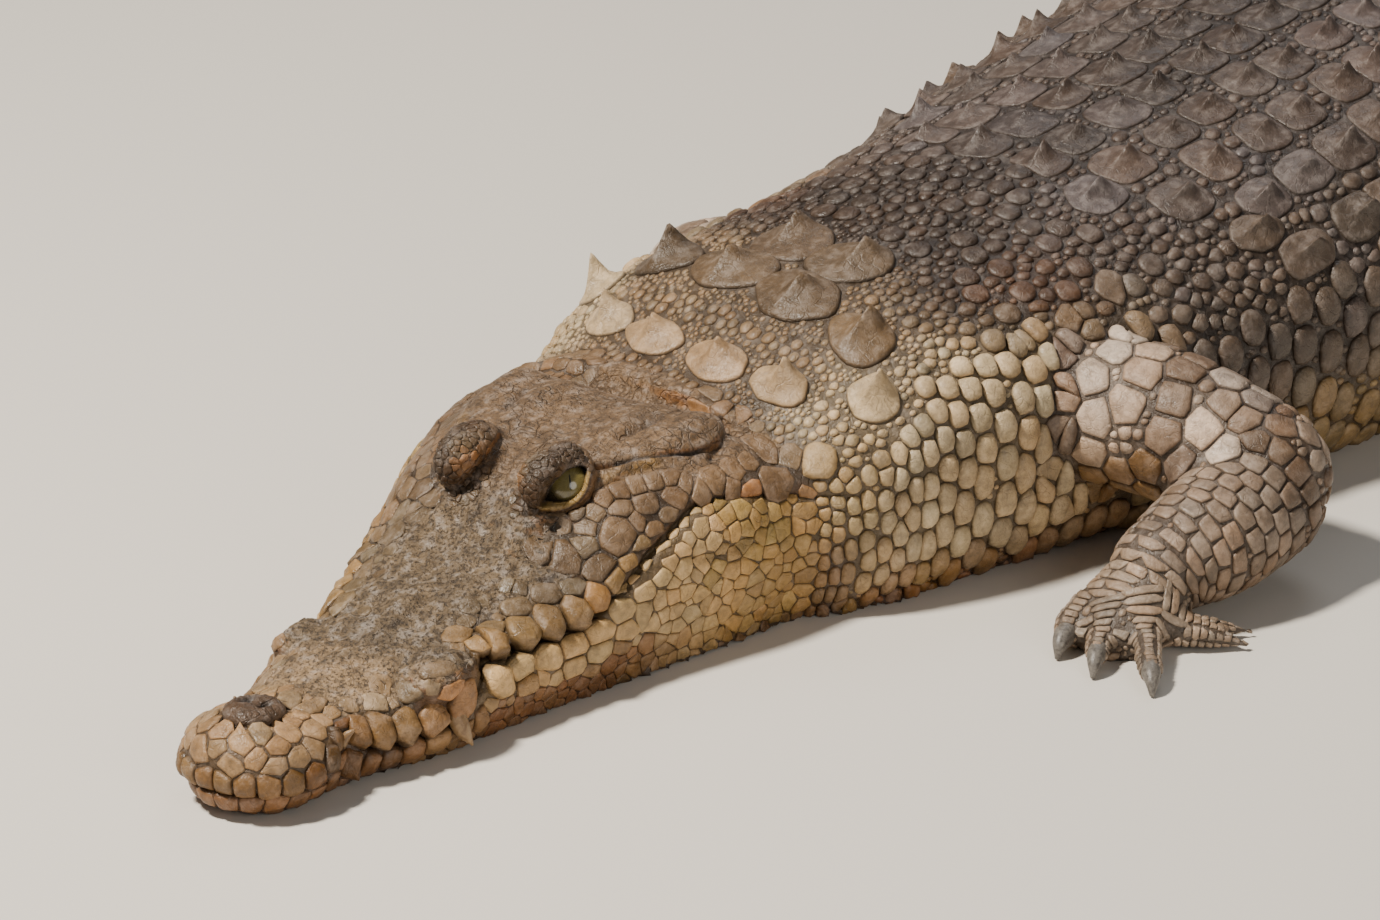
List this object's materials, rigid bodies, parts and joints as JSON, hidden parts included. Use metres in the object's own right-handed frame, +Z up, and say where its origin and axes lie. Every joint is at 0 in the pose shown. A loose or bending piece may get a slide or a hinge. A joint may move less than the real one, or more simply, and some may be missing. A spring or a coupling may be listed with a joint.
{
  "type": "crocodile",
  "caption": "Life-size still model of a crocodile resting on its belly, jaws closed, legs spread and crested tail in a gentle bend.",
  "frame": {"origin": "centre of the belly flat on the floor, under the middle of the trunk", "axes": "+X along the body towards the snout, +Y towards the animal's left, +Z up; the floor is z = 0"},
  "size_m": [2.3637, 0.6057, 0.188],
  "materials": {
    "hide": "dry scaly hide, matt with a slight sheen on the larger scales",
    "eye": "wet and glossy, olive gold with an upright slit pupil",
    "horn": "dull horn"
  },
  "bodies": {
    "root": {"claw_fore_left_1": "horn", "claw_fore_left_2": "horn", "claw_fore_left_3": "horn", "claw_fore_right_1": "horn", "claw_fore_right_2": "horn", "claw_fore_right_3": "horn", "claw_hind_left_1": "horn", "claw_hind_left_2": "horn", "claw_hind_left_3": "horn", "claw_hind_right_1": "horn", "claw_hind_right_2": "horn", "claw_hind_right_3": "horn", "eye_left": "eye", "eye_right": "eye", "forefoot_left": "hide", "forefoot_right": "hide", "foreleg_left_lower": "hide", "foreleg_left_upper": "hide", "foreleg_right_lower": "hide", "foreleg_right_upper": "hide", "head_upper": "hide", "hindfoot_left": "hide", "hindfoot_right": "hide", "hindleg_left_lower": "hide", "hindleg_left_upper": "hide", "hindleg_right_lower": "hide", "hindleg_right_upper": "hide", "jaw_lower": "hide", "neck": "hide", "tail_1": "hide", "tail_2": "hide", "tail_3": "hide", "tail_4": "hide", "tail_5": "hide", "trunk_front": "hide", "trunk_rear": "hide"}
  },
  "joints": []
}
